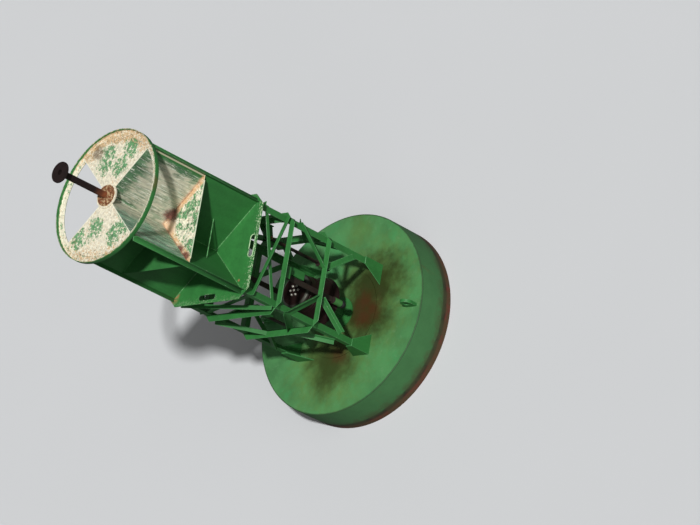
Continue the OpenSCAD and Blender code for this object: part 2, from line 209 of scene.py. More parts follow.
class Finish:
    """A material that is built from nodes."""

    def __init__(self, name, roughness=0.5, metallic=0.0, specular=0.5):
        self.material = bpy.data.materials.new(name)
        self.material.use_nodes = True
        self.tree = self.material.node_tree
        self.tree.nodes.clear()
        self.shader = self.tree.nodes.new("ShaderNodeBsdfPrincipled")
        output = self.tree.nodes.new("ShaderNodeOutputMaterial")
        self.tree.links.new(self.shader.outputs["BSDF"], output.inputs["Surface"])
        self.shader.inputs["Roughness"].default_value = roughness
        self.shader.inputs["Metallic"].default_value = metallic
        self.shader.inputs["Specular IOR Level"].default_value = specular
        self.place = self.node("ShaderNodeTexCoord", out="Object")
        split = self.node("ShaderNodeSeparateXYZ", {}, {0: self.place}, out=None)
        self.x, self.y, self.z = (Value(self, s) for s in split.outputs)

    def node(self, kind, preset=None, feeds=None, out=0):
        """Adds a node. Preset is set first, then feeds gives its sockets values or links."""
        made = self.tree.nodes.new(kind)
        for key, value in (preset or {}).items():
            setattr(made, key, value)
        for key, value in (feeds or {}).items():
            self.feed(made.inputs[key], value)
        return made if out is None else Value(self, made.outputs[out])

    def feed(self, socket, value):
        if isinstance(value, Value):
            self.tree.links.new(value.socket, socket)
        elif socket.type == "RGBA":
            socket.default_value = (*value[:3], 1.0)
        else:
            socket.default_value = value

    def noise(self, scale, detail=3.0, roughness=0.55, stretch=(1, 1, 1), shift=(0, 0, 0)):
        """Cloudy noise from 0 to 1, with its grains stretched along the axes."""
        place = self.place
        if stretch != (1, 1, 1) or shift != (0, 0, 0):
            place = self.node("ShaderNodeMapping", {}, {
                "Vector": place, "Location": shift, "Scale": tuple(1 / s for s in stretch)})
        return self.node("ShaderNodeTexNoise", {}, {
            "Vector": place, "Scale": scale, "Detail": detail, "Roughness": roughness})

    def grain(self, scale, stretch=(1, 1, 1), shift=(0, 0, 0)):
        """Rough noise that uses all of the range from 0 to 1."""
        return self.noise(scale, 5, 0.8, stretch, shift).ease(0.34, 0.66)

    def mix(self, share, first, second, blend="MIX"):
        """A colour between first, at share 0, and second, at share 1."""
        return self.node("ShaderNodeMix", {"data_type": "RGBA", "blend_type": blend},
                         {0: share, 6: first, 7: second}, out=2)

    def shade(self, colour, amount, low, high):
        """The colour made darker or lighter as amount goes from 0 to 1."""
        dark, light = (self.mix(1.0, colour, (part, part, part), "MULTIPLY")
                       for part in (low, high))
        return self.mix(amount, dark, light)

    def radius(self, x=0.0, y=0.0):
        """Level distance from a point, as seen from above."""
        level = self.node("ShaderNodeCombineXYZ", {}, {0: self.x - x, 1: self.y - y, 2: 0.0})
        return self.node("ShaderNodeVectorMath", {"operation": "LENGTH"}, {0: level}, out=1)

    def near(self, centre, size, raggedness, core=0.35, scale=9.0):
        """1 at a point, falling ragged from its core to 0 at the given distance from it."""
        away = self.node("ShaderNodeVectorMath", {"operation": "DISTANCE"},
                         {0: self.place, 1: centre}, out=1)
        ragged = (self.noise(scale, 4, 0.65) - 0.5) * raggedness
        return (away / size + ragged).ease(1.0, core)

    def spots(self, places, size, raggedness, core=0.35, scale=9.0):
        """1 near any of the places, which are points in the part's frame."""
        share = self.near(places[0], size, raggedness, core, scale)
        for place in places[1:]:
            share = share.over(self.near(place, size, raggedness, core, scale))
        return share

    def gloss(self, low, high, share):
        self.feed(self.shader.inputs["Roughness"], low + share * (high - low))

    def bump(self, height, strength=0.3, distance=0.002):
        normal = self.node("ShaderNodeBump", {}, {
            "Strength": strength, "Distance": distance, "Height": height})
        self.feed(self.shader.inputs["Normal"], normal)

    def painted(self, colour):
        """Gives the surface its colour, and hands over the finished material."""
        self.feed(self.shader.inputs["Base Color"], colour)
        return self.material


def green_paint(finish, paint):
    """Sound green paint with slow changes of tone, faint runs and a little grime."""
    slow = finish.noise(2.3)
    runs = finish.noise(9, 2, 0.5, stretch=(1, 1, 6))
    tone = (slow * 0.6 + runs * 0.4).ease(0.32, 0.68)
    colour = finish.shade(paint.green, tone, 0.84, 1.14)
    return finish.shade(colour, finish.noise(34, 4, 0.7).ease(0.35, 0.65), 0.93, 1.06)


def satin_bump(finish):
    """Fine unevenness of rolled paint on steel."""
    finish.bump(finish.noise(60) + finish.noise(7, 2) * 2, 0.25, 0.0015)


def south_or_north(finish):
    """1 in the quarters that lie along Y, whose top is open to the sun, and 0 in the others."""
    return (abs(finish.y) - abs(finish.x)).ease(-0.002, 0.002)


def tower_finish(paint):
    """Satin green paint with a few small chips and thin rust runs."""
    finish = Finish("tower_green", 0.46)
    colour = green_paint(finish, paint)
    chips = finish.noise(38, 5, 0.7).ease(0.735, 0.77)
    colour = colour.tint(chips * 0.6, 150, 170, 130)
    rust = finish.noise(6, 5, 0.7, stretch=(1, 1, 3)).ease(0.69, 0.80)
    finish.gloss(0.40, 0.58, finish.noise(12))
    satin_bump(finish)
    return finish.painted(finish.mix(rust * 0.5, colour, paint.rust))


def edge_finish():
    """Green paint worn thin along the edges of bars and plates."""
    finish = Finish("worn_edges", 0.5)
    colour = finish.shade(paint_colour(72, 138, 80), finish.noise(15), 0.6, 1.3)
    bare = finish.noise(30, 4, 0.7).ease(0.58, 0.68)
    return finish.painted(colour.tint(bare * 0.7, 160, 178, 146))


def deck_finish(paint):
    """Worn deck paint with dull scuffs, olive grime and rust stains round the bell, darkened there
    by painted shade.
    """
    finish = Finish("deck_green", 0.6, specular=0.25)
    tone = finish.noise(2.2, 5, 0.6).ease(0.3, 0.7)
    colour = finish.shade(paint.worn_green, tone, 0.80, 1.20)
    scuffs = finish.noise(13, 5, 0.75).ease(0.54, 0.74)
    colour = colour.tint(scuffs * 0.4, 112, 150, 108)
    fresh = finish.noise(3.4, 4, 0.6, shift=(0.4, 0.9, 0)).ease(0.50, 0.68)
    colour = colour.tint(fresh * 0.35, 58, 146, 84)
    round_bell = [(0.00, -0.40, DECK_Z), (0.30, -0.48, DECK_Z)]
    by_west_side = (-0.58, 0.02, DECK_Z)
    # Dark olive round the bell and by the west side: partly rust stain and grime, partly painted
    # shadow of the tower and bell.
    stain = finish.spots(round_bell, 0.60, 1.2, 0.25, scale=3.4)
    low = finish.near(by_west_side, 0.52, 1.2, 0.2, scale=3.4)
    grime = stain.over(low * 0.9)
    film = finish.near((1.0, -0.10, DECK_Z), 0.36, 1.0, core=0.0) * 0.4
    film = film.over(finish.spots([*round_bell, by_west_side], 0.85, 1.0, 0.1) * 0.55)
    colour = colour.tint(film, 96, 116, 48)
    # Near-black olive over those masks: stain and painted shade together.
    colour = colour.tint(grime * 0.92, 38, 44, 8)
    rusty = finish.spots([(x, y, DECK_Z) for x, y in (
        (-0.10, -0.37), (0.12, -0.36), (0.02, -0.50), (-0.50, -0.10))], 0.24, 1.5, -0.1, 5)
    colour = colour.tint(rusty * grime * 0.8, 70, 38, 14)
    specks = (finish.noise(26, 5, 0.75) + stain * 0.10).ease(0.70, 0.78)
    colour = colour.tint(specks * 0.5, 66, 44, 26)
    edge = (finish.radius() + finish.noise(14) * 0.02).ease(HULL_R - 0.010, HULL_R + 0.004)
    finish.gloss(0.50, 0.78, finish.noise(8))
    finish.bump(finish.noise(45, 4) + finish.noise(5) * 2)
    return finish.painted(colour.tint(edge * 0.7, 44, 60, 40))


def hull_finish(paint):
    """Green band above the water, with a dark line over the red-brown bottom paint."""
    finish = Finish("hull_paint", 0.55)
    wavy = finish.z + (finish.noise(7, 4) - 0.5) * 0.035
    above = wavy.ease(paint.paint_line - 0.004, paint.paint_line + 0.004)
    green = finish.shade(paint.worn_green, finish.noise(4, 5, 0.65), 0.7, 1.2)
    bottom = finish.shade(paint.bottom, finish.noise(6, 5, 0.7), 0.6, 1.5)
    slime = finish.noise(10, 5, 0.75).ease(0.52, 0.66)
    bottom = bottom.tint(slime * 0.45, 80, 78, 50)
    colour = finish.mix(above, bottom, green)
    line = abs(wavy - paint.paint_line).ease(0.045, 0.015)
    colour = colour.tint(line * 0.85, 34, 32, 24)
    grime = wavy.ease(paint.paint_line + 0.22, paint.paint_line)
    olive = (finish.noise(8, 5, 0.7) + grime * 0.2).ease(0.50, 0.75)
    colour = colour.tint(olive * grime * 0.7, 70, 72, 44)
    runs = finish.noise(5, 5, 0.7, stretch=(1, 1, 7)).ease(0.58, 0.72)
    near_deck = finish.z.ease(DECK_Z - 0.35, DECK_Z)
    finish.gloss(0.5, 0.82, finish.noise(9))
    finish.bump(finish.noise(40, 4) + finish.noise(3) * 3)
    return finish.painted(finish.mix(runs * near_deck * 0.75, colour, paint.rust))


def bottom_finish(paint):
    """Matt red-brown bottom paint with slime and a little rust."""
    finish = Finish("bottom_paint", 0.8)
    colour = finish.shade(paint.bottom, finish.noise(5, 5, 0.7), 0.6, 1.4)
    slime = finish.noise(9, 6, 0.75).ease(0.50, 0.66)
    colour = colour.tint(slime * 0.6, 72, 76, 46)
    rust = finish.noise(14, 5, 0.7).ease(0.62, 0.74)
    finish.bump(finish.noise(35, 5, 0.7), 0.5, 0.004)
    return finish.painted(finish.mix(rust * 0.8, colour, paint.rust))


def bleached_paint(finish, paint, green, rust):
    """Flaking cream paint. The green and rust shares say where green or rust shows through."""
    colour = finish.shade(paint.bleached, finish.grain(26), 0.78, 1.22)
    tan = (finish.noise(30, 5, 0.8, shift=(2, 9, 4)) + rust * 0.15).ease(0.56, 0.64)
    colour = colour.tint(tan * 0.8, 206, 166, 114)
    white = finish.noise(40, 5, 0.8, shift=(5, 2, 7)).ease(0.56, 0.60)
    colour = colour.tint(white * 0.8, 252, 248, 230)
    green_tone = finish.shade(paint_colour(74, 142, 88), finish.grain(34), 0.5, 1.4)
    left = (finish.noise(28, 6, 0.8) + green * 0.18).ease(0.63, 0.66)
    colour = finish.mix(left * 0.92, colour, green_tone)
    dots = (finish.noise(46, 4, 0.8, shift=(3, 1, 2)) + rust * 0.05).ease(0.61, 0.64)
    colour = colour.tint(dots * 0.9, 78, 68, 44)
    pits = (finish.noise(30, 5, 0.8, shift=(1, 5, 2)) + rust * 0.08).ease(0.68, 0.73)
    return colour.tint(pits * 0.9, 84, 52, 34)


def sector_finish(paint):
    """Top sectors: flaking cream with green left in patches, a tan rim and a painted highlight
    along the straight edges.
    """
    finish = Finish("bleached_sectors", 0.62)
    under = finish.z.ease(SECTOR_Z - 0.002, SECTOR_Z - 0.004)
    away = finish.radius()
    green = finish.spots([(x, y, SECTOR_Z) for x, y in (
        (0.50, 0.10), (0.37, 0.12), (0.34, -0.10), (0.53, -0.24), (-0.46, 0.33), (-0.36, 0.09),
        (-0.47, -0.20), (-0.38, -0.32))], 0.19, 1.1)
    far = finish.x.ease(-0.3, 0.6)
    rim = (away + (finish.noise(7, 4) - 0.5) * 0.20).ease(SECTOR_R - 0.14, SECTOR_R - 0.01)
    colour = bleached_paint(finish, paint, green, rim * (0.5 + far * 0.7))
    stain = finish.near((0.53, 0.27, SECTOR_Z), 0.12, 1.6)
    stain = stain * finish.noise(40, 5, 0.8, shift=(7, 7, 0)).ease(0.36, 0.48)
    colour = colour.tint(stain * 0.8, 96, 72, 44)
    # A painted highlight along the sectors' straight edges.
    edge = abs(abs(finish.x) - abs(finish.y)).ease(0.016, 0.008)
    colour = colour.tint(edge * 0.7, 236, 234, 214)
    finish.bump(finish.noise(60, 5, 0.75), 0.5)
    return finish.painted(finish.mix(under, colour, green_paint(finish, paint)))


def middle_finish(paint):
    """Middle plate of the reflector: cream, with rust at the corner and along the seams, and a
    painted highlight along the south and north edges.
    """
    finish = Finish("bleached_middle", 0.62)
    top = finish.z.ease(MID_Z - 0.004, MID_Z - 0.001)
    seam = abs(abs(finish.x) - abs(finish.y)) + (finish.noise(14, 4, 0.7) - 0.5) * 0.07
    seam = seam.ease(0.125, 0.045)
    out = abs(finish.y)
    green = finish.noise(7, 4, 0.65, shift=(0.7, 0.2, 0)).ease(0.38, 0.56)
    green = (green * 0.9 + 0.2) * (1 - seam)
    colour = bleached_paint(finish, paint, green, seam * 0.9)
    strokes = finish.noise(30, 5, 0.8, stretch=(2.4, 1, 1), shift=(4, 4, 0)).ease(0.54, 0.59)
    colour = colour.tint(strokes * (1 - seam) * 0.85, 52, 74, 46)
    orange = seam * finish.noise(12, 4, 0.7).ease(0.36, 0.56)
    colour = colour.tint(orange * 0.7, 214, 170, 124)
    worn = abs(abs(finish.x) - out).ease(0.024, 0.004)
    worn = worn * finish.noise(19, 5, 0.75).ease(0.44, 0.54)
    colour = colour.tint(worn * 0.85, 104, 62, 42)
    peach = finish.near((-0.05, -0.10, MID_Z), 0.13, 0.8)
    colour = colour.tint(peach * 0.8, 222, 184, 150)
    foot = finish.spots([(-0.32, -0.33, MID_Z), (-0.42, -0.44, MID_Z)], 0.075, 1.3)
    corner = finish.near((0.09, -0.125, MID_Z), 0.115, 1.1)
    brown = finish.shade(paint_colour(94, 50, 42), finish.grain(32), 0.3, 1.9)
    colour = finish.mix(corner.over(foot) * 0.92, colour, brown)
    # A painted highlight along the plate's south and north edges.
    painted_edge_highlight = out.ease(FLOOR_HALF - 0.108, FLOOR_HALF - 0.098)
    colour = colour.tint(painted_edge_highlight * 0.7, 226, 230, 206)
    open_top = top * south_or_north(finish)
    finish.bump(finish.noise(60, 5, 0.75), 0.5)
    return finish.painted(finish.mix(open_top, green_paint(finish, paint), colour))


def panel_finish(paint):
    """Upper radial plates: bleached and scratched where the sun reaches, green elsewhere, with a
    painted hub shadow by the axis.
    """
    finish = Finish("bleached_panels", 0.58)
    away = finish.radius()
    sound = green_paint(finish, paint)
    east_half = finish.x.ease(-0.01, 0.01)
    streaks = finish.noise(36, 4, 0.7, stretch=(1, 1, 11))
    fine = finish.grain(85, stretch=(1, 1, 14))
    cloud = finish.noise(5, 4, 0.65)
    coarse = finish.grain(22, stretch=(1, 1, 9), shift=(1, 8, 3))
    beige = finish.shade(paint_colour(204, 200, 176), fine * 0.4 + coarse * 0.6, 0.68, 1.18)
    dull = finish.shade(paint_colour(126, 148, 122), fine * 0.4 + coarse * 0.6, 0.50, 1.36)
    dark = finish.shade(paint_colour(66, 114, 76), coarse, 0.50, 1.45)
    share = (streaks + (cloud - 0.5) * 0.9).ease(0.42, 0.66)
    colour = finish.mix(share * 0.75, beige, dull)
    high = (finish.z + (cloud - 0.5) * 0.3).ease(SECTOR_Z - 0.32, SECTOR_Z - 0.04)
    outer = (away + (cloud - 0.5) * 0.25).ease(0.50, 0.68)
    # Near the axis, high up: a painted shadow of the hub, laid on with the unbleached green
    # through worn.
    inner = away.ease(0.13, 0.02) * finish.z.ease(MID_Z + 0.25, MID_Z + 0.6)
    worn = high.over(outer).over(inner) * east_half
    worn = (streaks * 0.5 + worn * 0.5).ease(0.42, 0.72)
    colour = finish.mix(worn * 0.88, colour, dark)
    slate = finish.shade(paint_colour(112, 164, 134), coarse, 0.32, 1.52)
    west = (1 - east_half) * (away + (cloud - 0.5) * 0.6).ease(0.10, 0.36)
    colour = finish.mix(west * 0.9, colour, slate)
    scratches = finish.noise(70, 4, 0.75, stretch=(1, 1, 12), shift=(2, 7, 1)).ease(0.57, 0.61)
    colour = colour.tint(scratches * 0.85, 232, 234, 218)
    border = (away + (finish.noise(10, 4) - 0.5) * 0.08).ease(0.66, 0.70)
    rim = away.ease(0.705, 0.712) * east_half
    border_tone = sound.tint(rim, 196, 190, 160)
    colour = finish.mix(border, colour, border_tone)
    corner = finish.near((0.095, -0.095, MID_Z + 0.02), 0.115, 1.1)
    brown = finish.shade(paint_colour(98, 54, 46), finish.grain(32), 0.3, 1.9)
    colour = finish.mix(corner * 0.92, colour, brown)
    seam = (finish.z + finish.noise(20) * 0.04).ease(MID_Z + 0.055, MID_Z + 0.02)
    colour = colour.tint(seam * (1 - corner) * 0.7, 196, 156, 120)
    finish.bump(finish.noise(60, 5, 0.75), 0.35, 0.0015)
    return finish.painted(finish.mix(south_or_north(finish), sound, colour))


def floor_plate_finish(paint):
    """Bottom plate of the reflector: green with light chips near its outer edge."""
    finish = Finish("chipped_green", 0.48)
    edge = FLOOR_HALF
    out = abs(finish.x).over(abs(finish.y))
    near_edge = out.ease(edge - 0.15, edge - 0.003)
    top = finish.z.ease(FLOOR_Z - 0.003, FLOOR_Z - 0.001)
    colour = finish.shade(green_paint(finish, paint), finish.noise(5), 0.97, 1.16)
    chips = (finish.noise(46, 5, 0.8) + near_edge * 0.16).ease(0.66, 0.71)
    sunny = (abs(finish.y) - abs(finish.x)).ease(-0.05, 0.05) * 0.75 + 0.25
    chips = chips * (0.12 + near_edge * 0.85) * top * sunny
    colour = colour.tint(chips, 186, 208, 168)
    foot = finish.near((-0.50, 0.53, FLOOR_Z), 0.10, 1.2)
    foot = foot.over(finish.near((-0.396, -0.446, FLOOR_Z), 0.025, 1.0))
    satin_bump(finish)
    return finish.painted(colour.tint(foot * 0.8, 168, 120, 84))


def ring_finish(paint, trim, long_way, middle, top):
    """Top ring: the upright flange green, the flat one and the upper edge bleached."""
    finish = Finish("ring_paint", 0.5)
    away = finish.radius(*middle)
    # How deep inside the oval's outer face, from the doubled angle off its long way
    x, y = finish.x - middle[0], finish.y - middle[1]
    twice = ((x * x - y * y) * math.cos(2 * long_way)
             + x * y * 2 * math.sin(2 * long_way)) / (away * away)
    depth = twice * trim.ring_oval + trim.ring_out - away
    near_side = (-finish.y).ease(-0.10, 0.30)
    east = finish.x.ease(0.30, 0.62)
    west = (-finish.x).ease(0.40, 0.66)
    ragged = finish.noise(26, 5, 0.8) - 0.5
    shelf = SHELF_Z + 0.012 + east * 0.012 - near_side * 0.006
    low = (finish.z + ragged * 0.07).ease(shelf + 0.004, shelf - 0.004)
    inside = depth.ease(trim.ring_thick * 0.5, trim.ring_thick * 0.8)
    under = finish.z.ease(SHELF_Z - 0.002, SHELF_Z - 0.004)
    upper = (finish.z + ragged * 0.012).ease(top - 0.004, top - 0.001)
    bare = finish.noise(19, 5, 0.8, shift=(3, 0, 5)).ease(0.44, 0.54)
    bleached = (low * inside * (1 - under)).over(upper * bare * (0.45 + east * 0.4))
    green = (1 - east) * finish.noise(12, 4, 0.7).ease(0.40, 0.60)
    cream = bleached_paint(finish, paint, green * 0.6, east.over(west * 0.7))
    stain = finish.near((0.05, -0.73, top), 0.11, 0.9) * 0.55
    sound = green_paint(finish, paint).tint(stain, 108, 84, 50)
    satin_bump(finish)
    return finish.painted(finish.mix(bleached, sound, cream))


def hub_finish(paint):
    """Hub disc: bleached cream with a rusty stain under the post."""
    finish = Finish("bleached_hub", 0.6)
    rust = finish.radius().ease(FLANGE_R + 0.016, FLANGE_R - 0.004)
    finish.bump(finish.noise(60, 5, 0.75), 0.4, 0.0015)
    return finish.painted(bleached_paint(finish, paint, 0.0, rust))


def rust_finish():
    """Bare rusty steel, light brown by the hub and almost black towards the lantern flange."""
    finish = Finish("rusty_steel", 0.8, specular=0.25)
    low = (finish.z + finish.noise(9) * 0.1).ease(FLANGE_Z + 0.26, FLANGE_Z + 0.02)
    dark = finish.shade(paint_colour(27, 16, 16), finish.noise(14, 5, 0.75), 0.4, 1.9)
    warm = finish.shade(paint_colour(150, 84, 50), finish.noise(20, 5, 0.75), 0.3, 1.6)
    colour = finish.mix(low, dark, warm)
    plate = finish.z.ease(FLANGE_Z + 0.03, FLANGE_Z + 0.002)
    brown = finish.shade(paint_colour(120, 76, 48), finish.noise(30, 5, 0.8), 0.4, 1.5)
    colour = finish.mix(plate, colour, brown)
    flakes = finish.noise(38, 5, 0.8).ease(0.50, 0.60)
    finish.bump(finish.noise(40, 6, 0.75), 0.6, 0.003)
    return finish.painted(colour.tint(plate * flakes * 0.85, 216, 192, 148))


def bronze_finish(paint):
    """Weathered bell bronze, almost black with a brown-red sheen, grey-green bloom and a painted
    highlight round the crown.
    """
    finish = Finish("bell_bronze", 0.42, metallic=0.5, specular=0.3)
    colour = finish.shade(paint.bronze, finish.noise(9, 4, 0.65), 0.6, 1.6)
    bloom_and_highlight = finish.noise(18, 5, 0.75).ease(0.62, 0.76)
    # A painted grey-green highlight round the crown's rounded shoulder, stronger on the far side,
    # laid over the random bloom.
    rim = finish.z.ease(CROWN_Z - 0.045, CROWN_Z - 0.012)
    around = finish.radius().ease(0.165, 0.185)
    far = (finish.x + finish.y).ease(-0.12, 0.10)
    bloom_and_highlight = (rim * around * (0.25 + far * 0.6)).over(bloom_and_highlight * 0.18)
    finish.gloss(0.32, 0.62, finish.noise(14))
    finish.bump(finish.noise(30, 4), 0.25)
    return finish.painted(colour.tint(bloom_and_highlight, 104, 118, 104))


def mottled_finish(name, colour, roughness, metallic=0.0):
    """One colour, a little mottled, for small pieces such as nuts, rods and weld beads."""
    finish = Finish(name, roughness, metallic)
    finish.bump(finish.noise(120), 0.2, 0.0006)
    tone = finish.noise(40, 4, 0.7).ease(0.35, 0.65)
    return finish.painted(finish.shade(colour, tone, 0.5, 1.3))


def rim_finish(paint):
    """Slot rims: green with light bare spots, and lighter on the south side, which is painted
    sunlight.
    """
    finish = Finish("slot_rims", 0.5)
    # Painted sunlight: the south side of the rims gets far more of the light colour.
    worn = (-finish.y).ease(0.38, 0.52)
    bare = (finish.noise(30, 5, 0.8) + worn * 0.14).ease(0.56, 0.62)
    light = finish.shade(paint_colour(172, 204, 158), finish.grain(40), 0.7, 1.2)
    satin_bump(finish)
    return finish.painted(finish.mix(bare, green_paint(finish, paint), light))


def clapper_finish(ball_top, weight_top):
    """Black ball, green weight and a rusty dark bar."""
    finish = Finish("clapper_paint", 0.55)
    bar = finish.shade(paint_colour(40, 28, 25), finish.noise(14, 5, 0.7), 0.5, 1.6)
    rusty = finish.noise(8, 5, 0.7).ease(0.52, 0.72)
    bar = bar.tint(rusty * 0.6, 78, 46, 32)
    green = finish.shade(paint_colour(66, 124, 62), finish.noise(16, 4), 0.7, 1.25)
    ball = finish.shade(paint_colour(22, 22, 24), finish.noise(20, 4), 0.7, 1.5)
    colour = finish.mix(finish.z.ease(ball_top - 0.003, ball_top + 0.003), ball, green)
    above = finish.z.ease(weight_top - 0.006, weight_top - 0.001)
    finish.gloss(0.4, 0.7, finish.noise(12))
    finish.bump(finish.noise(40, 4), 0.35)
    return finish.painted(finish.mix(above, colour, bar))


def floor_finish(colour):
    """Plain pale studio floor."""
    finish = Finish("studio_floor", 0.9)
    return finish.painted(finish.shade(colour, finish.noise(0.35, 2), 0.985, 1.015))


# Modelling helpers

def enter(mode):
    """Goes to object or edit mode."""
    bpy.ops.object.mode_set(mode=mode)


def leave_all():
    """Goes to object mode with nothing selected."""
    if bpy.context.object and bpy.context.object.mode != "OBJECT":
        enter("OBJECT")
    bpy.ops.object.select_all(action="DESELECT")


def pick(thing):
    """Makes one object the only one selected."""
    leave_all()
    thing.select_set(True)
    bpy.context.view_layer.objects.active = thing


def edit(thing):
    """Opens a piece in edit mode with all of it selected."""
    pick(thing)
    enter("EDIT")
    bpy.ops.mesh.select_all(action="SELECT")


def select_where(thing, kind, wanted):
    """Selects a piece's faces, edges or points that pass the test, in edit mode."""
    if bpy.context.mode != "EDIT_MESH":
        edit(thing)
    bpy.ops.mesh.select_mode(type=kind)
    bpy.ops.mesh.select_all(action="DESELECT")
    enter("OBJECT")
    mesh = thing.data
    for part in {"FACE": mesh.polygons, "EDGE": mesh.edges, "VERT": mesh.vertices}[kind]:
        part.select = wanted(part)
    enter("EDIT")


def push(value):
    """Extrudes what is selected and moves it."""
    bpy.ops.mesh.extrude_region_move(TRANSFORM_OT_translate={"value": value})


def give_materials(thing, *materials):
    """Puts these materials, and no others, on a piece."""
    thing.data.materials.clear()
    for material in materials:
        thing.data.materials.append(material)


def finish_piece(thing, name, material, body, smooth=30):
    """Settles a piece at the origin, names it, paints it and lets it ride on a body.

    A piece that has its materials already is given None. Smooth is in degrees.
    """
    pick(thing)
    bpy.ops.object.transform_apply()
    bpy.ops.object.shade_smooth_by_angle(angle=math.radians(smooth))
    thing.name = thing.data.name = name
    if material:
        give_materials(thing, material)
    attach(thing, body)


def round_edges(thing, width, segments=1, sharp=40, material=-1):
    """Rounds the edges that turn by more than sharp degrees."""
    pick(thing)
    bevel = thing.modifiers.new("edges", "BEVEL")
    bevel.width, bevel.segments, bevel.material = width, segments, material
    bevel.limit_method, bevel.angle_limit = "ANGLE", math.radians(sharp)
    bpy.ops.object.modifier_apply(modifier=bevel.name)


def join_to_first(pieces):
    """Joins the pieces into the first of them."""
    leave_all()
    for piece in pieces:
        piece.select_set(True)
    bpy.context.view_layer.objects.active = pieces[0]
    if len(pieces) > 1:
        bpy.ops.object.join()
    return pieces[0]


def copies_joined(model, matrices):
    """Copies the model to each place and joins the copies into one piece."""
    made = []
    for matrix in matrices:
        copy = model.copy()
        copy.data = model.data.copy()
        bpy.context.collection.objects.link(copy)
        copy.matrix_world = matrix
        made.append(copy)
    bpy.data.objects.remove(model)
    return join_to_first(made)


def turned(angle, point=(0, 0, 0)):
    """A matrix that turns about the upright axis and then moves to a point."""
    return Matrix.Rotation(angle, 4, "Z") @ Matrix.Translation(point)


def node_copy(name, merge=0.00002, flat=math.radians(0.5)):
    """A copy of a CAD node, its loose triangles merged into flat faces."""
    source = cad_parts[name]
    copy = bpy.data.objects.new(name + "_rounded", source.data.copy())
    bpy.context.collection.objects.link(copy)
    edit(copy)
    bpy.ops.mesh.remove_doubles(threshold=merge)
    bpy.ops.mesh.dissolve_limited(angle_limit=flat)
    enter("OBJECT")
    return copy


def walk_round(steps, corners=180, merge=0.0002):
    """A closed ring whose section is walked through the given (radius, height) steps."""
    leave_all()
    radius, height = steps[0]
    bpy.ops.mesh.primitive_circle_add(vertices=corners, radius=radius,
                                      location=(0, 0, height))
    ring = bpy.context.object
    edit(ring)
    bpy.ops.mesh.select_mode(type="VERT")
    bpy.ops.mesh.select_all(action="SELECT")
    for wider, higher in (*steps[1:], steps[0]):
        push((0, 0, higher - height))
        bpy.ops.transform.resize(value=(wider / radius, wider / radius, 1))
        radius, height = wider, higher
    bpy.ops.mesh.select_all(action="SELECT")
    bpy.ops.mesh.remove_doubles(threshold=merge)
    bpy.ops.mesh.normals_make_consistent(inside=False)
    enter("OBJECT")
    return ring


def angle_model(heel, size, thick, low, high):
    """An upright angle bar with its heel towards the axis and its flanges along X and Y."""
    leave_all()
    middle = heel + thick / 2
    bpy.ops.mesh.primitive_cube_add(size=1, location=(middle, middle, (low + high) / 2),
                                    scale=(thick, thick, high - low))
    bar = bpy.context.object
    bpy.ops.object.transform_apply()
    for axis in (0, 1):
        select_where(bar, "FACE", lambda face: face.normal[axis] > 0.9
                     and face.center[1 - axis] < heel + thick)
        reach = [0, 0, 0]
        reach[axis] = size - thick
        push(reach)
    enter("OBJECT")
    return bar


def standing_cylinder(corners, radius, height):
    """A cylinder that stands on the origin."""
    leave_all()
    bpy.ops.mesh.primitive_cylinder_add(vertices=corners, radius=radius, depth=height,
                                        location=(0, 0, height / 2))
    bpy.ops.object.transform_apply()
    return bpy.context.object


def weld_model(length, radius, ripple=0.014, waist=0.72):
    """A weld bead along Z from the origin, with the ripples of its laying.

    Ripple is about half a wave long, and waist is how thin the bead is between waves.
    """
    bead = standing_cylinder(8, radius, length)

    def runs_along(line):
        start, end = (bead.data.vertices[point].co.z for point in line.vertices)
        return abs(end - start) > length / 2

    rings = round(length / ripple)
    select_where(bead, "EDGE", runs_along)
    bpy.ops.mesh.subdivide(number_cuts=rings - 1)
    select_where(bead, "VERT", lambda point: round(point.co.z * rings / length) % 2 == 1)
    bpy.ops.transform.resize(value=(waist, waist, 1))
    enter("OBJECT")
    return bead


def nut_model(radius):
    """A nut with rounded corners and the end of its bolt. All follows from its radius."""
    tall, round_off = 0.9 * radius, 0.07 * radius
    crown_in, crown_up = 0.22 * radius, 0.12 * radius
    bolt_in, bolt_up = 0.2 * radius, 0.45 * radius
    nut = standing_cylinder(6, radius, tall)
    select_where(nut, "FACE", lambda face: face.normal.z > 0.9)
    for inset, rise in ((crown_in, crown_up), (bolt_in, bolt_up)):
        bpy.ops.mesh.inset(thickness=inset)
        push((0, 0, rise))
    enter("OBJECT")
    round_edges(nut, round_off, sharp=30)
    return nut


def bolt_circle(name, radius, z, count, size, material, start=0):
    """Nuts on a circle round the axis, from start degrees on."""
    places = [turned(math.radians(start) + i * math.tau / count, (radius, 0, z))
              for i in range(count)]
    finish_piece(copies_joined(nut_model(size), places), name, material, "buoy")


# Operators

